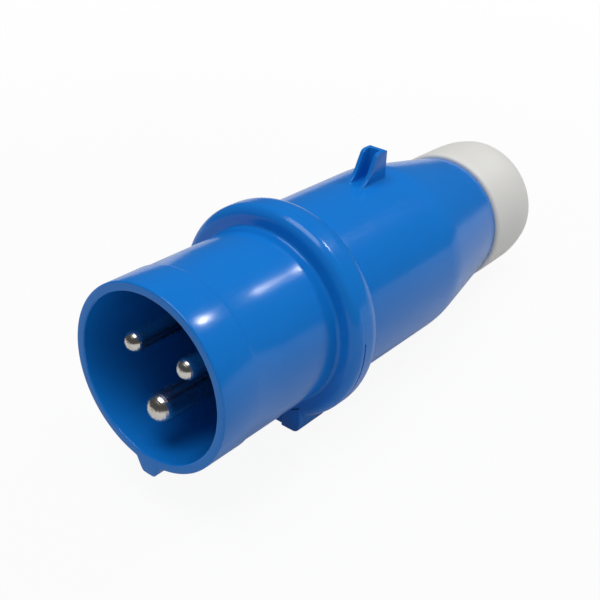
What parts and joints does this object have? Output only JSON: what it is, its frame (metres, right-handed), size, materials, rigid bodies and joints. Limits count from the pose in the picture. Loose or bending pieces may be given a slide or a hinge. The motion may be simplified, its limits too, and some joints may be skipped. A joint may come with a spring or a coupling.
{
  "type": "industrial pin and sleeve plug",
  "caption": "Straight blue industrial pin and sleeve plug with a round shroud, pole and earth pins, lid hook, sliding housing lock and a turning cable gland nut.",
  "frame": {"origin": "centre of the mouth, on the plug's axis, in the plane of the shroud's rim", "axes": "+X along the axis from the mouth to the cable end; +Z towards the lid hook at twelve o'clock; the earth pin, nib and housing lock are on -Z at six o'clock"},
  "size_m": [0.1361, 0.0532, 0.0587],
  "materials": {
    "blue_plastic": "glossy moulded polyamide",
    "insert_plastic": "satin moulded polyamide",
    "plated_brass": "turned brass, nickel plated",
    "screw_steel": "zinc plated",
    "washer_steel": "stamped",
    "seal_rubber": "matt",
    "clamp_plastic": "natural polyamide",
    "nut_plastic": "matt light grey polyamide"
  },
  "bodies": {
    "housing": {"shroud_housing": "blue_plastic", "handle": "blue_plastic", "contact_carrier": "insert_plastic", "terminal_block": "insert_plastic", "line_pin": "plated_brass", "neutral_pin": "plated_brass", "earth_pin": "plated_brass", "line_terminal_screw": "screw_steel", "neutral_terminal_screw": "screw_steel", "earth_terminal_screw": "screw_steel", "block_screw": "screw_steel", "housing_seal": "seal_rubber", "gland_seal": "seal_rubber", "cable_clamp": "clamp_plastic"},
    "lock_slide": {"lock_slide": "blue_plastic"},
    "nut_washer": {"slip_washer": "washer_steel"},
    "nut": {"gland_nut": "nut_plastic"}
  },
  "joints": [
    {"name": "lock_slide_travel", "type": "slide", "parent": "housing", "child": "lock_slide", "axis": [-1, 0, 0], "range_m": [0, 0.0022]},
    {"name": "nut_advance", "type": "slide", "parent": "housing", "child": "nut_washer", "axis": [1, 0, 0], "range_m": [0, 0.005]},
    {"name": "nut_turn", "type": "hinge", "parent": "nut_washer", "child": "nut", "pos_m": [0.125, 0, 0], "axis": [1, 0, 0], "range_deg": [0, 720]}
  ],
  "couplings": [
    {"joint": "nut_turn", "follows": "nut_advance", "rad_per_m": 2513.3}
  ]
}
